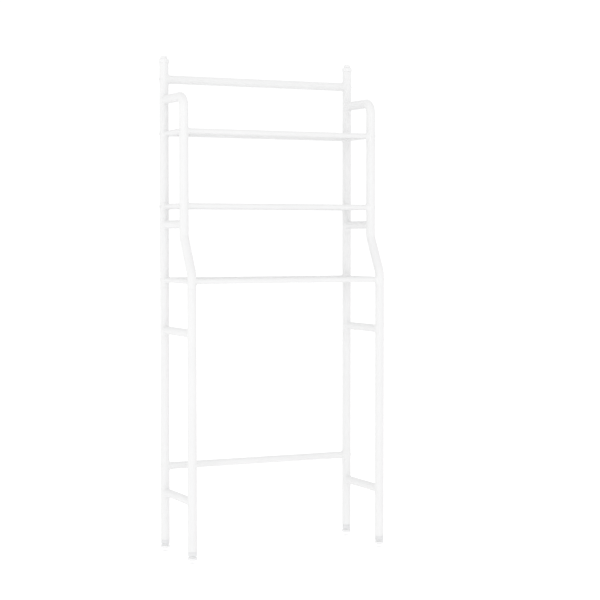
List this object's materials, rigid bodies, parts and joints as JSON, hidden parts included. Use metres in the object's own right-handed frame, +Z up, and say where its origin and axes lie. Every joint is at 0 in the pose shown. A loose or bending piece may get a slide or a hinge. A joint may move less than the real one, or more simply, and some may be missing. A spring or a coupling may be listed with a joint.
{
  "type": "over the toilet storage rack",
  "caption": "Free-standing tubular bathroom rack that stands over a toilet, with three wire shelves, hooked and stepped front posts, and screw-adjustable feet.",
  "frame": {"origin": "on the floor, at the middle of the footprint", "axes": "+X to the right as seen from the front, +Y to the rear (the wall side), +Z up"},
  "size_m": [0.675, 0.2618, 1.55],
  "materials": {
    "white_powder_coat": "white powder coat, satin",
    "white_plastic": "moulded white plastic",
    "grey_plastic": "moulded pale grey plastic",
    "rubber": "grey non-slip rubber",
    "zinc_steel": "zinc-plated steel",
    "white_screw": "white lacquered screw head"
  },
  "bodies": {
    "rack": {"bottom_shelf_front_rail": "white_powder_coat", "bottom_shelf_rear_rail": "white_powder_coat", "bottom_shelf_side_rails": "white_powder_coat", "bottom_shelf_wires": "white_powder_coat", "foot_insert_front_left": "grey_plastic", "foot_insert_front_right": "grey_plastic", "foot_insert_rear_left": "grey_plastic", "foot_insert_rear_right": "grey_plastic", "foot_nuts": "zinc_steel", "frame_rail_plugs": "zinc_steel", "frame_screws": "white_screw", "front_post_lower_left": "white_powder_coat", "front_post_lower_right": "white_powder_coat", "front_post_upper_left": "white_powder_coat", "front_post_upper_right": "white_powder_coat", "lower_crossbar": "white_powder_coat", "lower_rung_left": "white_powder_coat", "lower_rung_right": "white_powder_coat", "middle_rung_left": "white_powder_coat", "middle_rung_right": "white_powder_coat", "middle_shelf_front_rail": "white_powder_coat", "middle_shelf_rear_rail": "white_powder_coat", "middle_shelf_side_rails": "white_powder_coat", "middle_shelf_wires": "white_powder_coat", "post_sleeve_front_left": "white_powder_coat", "post_sleeve_front_right": "white_powder_coat", "post_sleeve_rear_left": "white_powder_coat", "post_sleeve_rear_right": "white_powder_coat", "rear_post_cap_left": "white_plastic", "rear_post_cap_right": "white_plastic", "rear_post_lower_left": "white_powder_coat", "rear_post_lower_right": "white_powder_coat", "rear_post_upper_left": "white_powder_coat", "rear_post_upper_right": "white_powder_coat", "shelf_rail_plugs": "zinc_steel", "shelf_screws": "white_screw", "top_rail": "white_powder_coat", "top_shelf_front_rail": "white_powder_coat", "top_shelf_rear_rail": "white_powder_coat", "top_shelf_side_rails": "white_powder_coat", "top_shelf_wires": "white_powder_coat", "upper_rung_left": "white_powder_coat", "upper_rung_right": "white_powder_coat"},
    "pad_front_left": {"foot_pad_front_left": "white_plastic", "foot_sole_front_left": "rubber"},
    "stud_front_left": {"foot_stud_front_left": "zinc_steel", "foot_grip_front_left": "white_plastic"},
    "pad_front_right": {"foot_pad_front_right": "white_plastic", "foot_sole_front_right": "rubber"},
    "stud_front_right": {"foot_stud_front_right": "zinc_steel", "foot_grip_front_right": "white_plastic"},
    "pad_rear_left": {"foot_pad_rear_left": "white_plastic", "foot_sole_rear_left": "rubber"},
    "stud_rear_left": {"foot_stud_rear_left": "zinc_steel", "foot_grip_rear_left": "white_plastic"},
    "pad_rear_right": {"foot_pad_rear_right": "white_plastic", "foot_sole_rear_right": "rubber"},
    "stud_rear_right": {"foot_stud_rear_right": "zinc_steel", "foot_grip_rear_right": "white_plastic"}
  },
  "joints": [
    {"name": "lift_front_left", "type": "slide", "parent": "rack", "child": "pad_front_left", "axis": [0, 0, -1], "range_m": [0, 0.01]},
    {"name": "turn_front_left", "type": "hinge", "parent": "pad_front_left", "child": "stud_front_left", "pos_m": [-0.322, -0.11663, 0.03], "axis": [0, 0, -1], "range_deg": [-20, 2900]},
    {"name": "lift_front_right", "type": "slide", "parent": "rack", "child": "pad_front_right", "axis": [0, 0, -1], "range_m": [0, 0.01]},
    {"name": "turn_front_right", "type": "hinge", "parent": "pad_front_right", "child": "stud_front_right", "pos_m": [0.322, -0.11663, 0.03], "axis": [0, 0, -1], "range_deg": [-20, 2900]},
    {"name": "lift_rear_left", "type": "slide", "parent": "rack", "child": "pad_rear_left", "axis": [0, 0, -1], "range_m": [0, 0.01]},
    {"name": "turn_rear_left", "type": "hinge", "parent": "pad_rear_left", "child": "stud_rear_left", "pos_m": [-0.322, 0.11538, 0.03], "axis": [0, 0, -1], "range_deg": [-20, 2900]},
    {"name": "lift_rear_right", "type": "slide", "parent": "rack", "child": "pad_rear_right", "axis": [0, 0, -1], "range_m": [0, 0.01]},
    {"name": "turn_rear_right", "type": "hinge", "parent": "pad_rear_right", "child": "stud_rear_right", "pos_m": [0.322, 0.11538, 0.03], "axis": [0, 0, -1], "range_deg": [-20, 2900]}
  ],
  "couplings": [
    {"joint": "turn_front_left", "follows": "lift_front_left", "rad_per_m": 5026.5},
    {"joint": "turn_front_right", "follows": "lift_front_right", "rad_per_m": 5026.5},
    {"joint": "turn_rear_left", "follows": "lift_rear_left", "rad_per_m": 5026.5},
    {"joint": "turn_rear_right", "follows": "lift_rear_right", "rad_per_m": 5026.5}
  ]
}
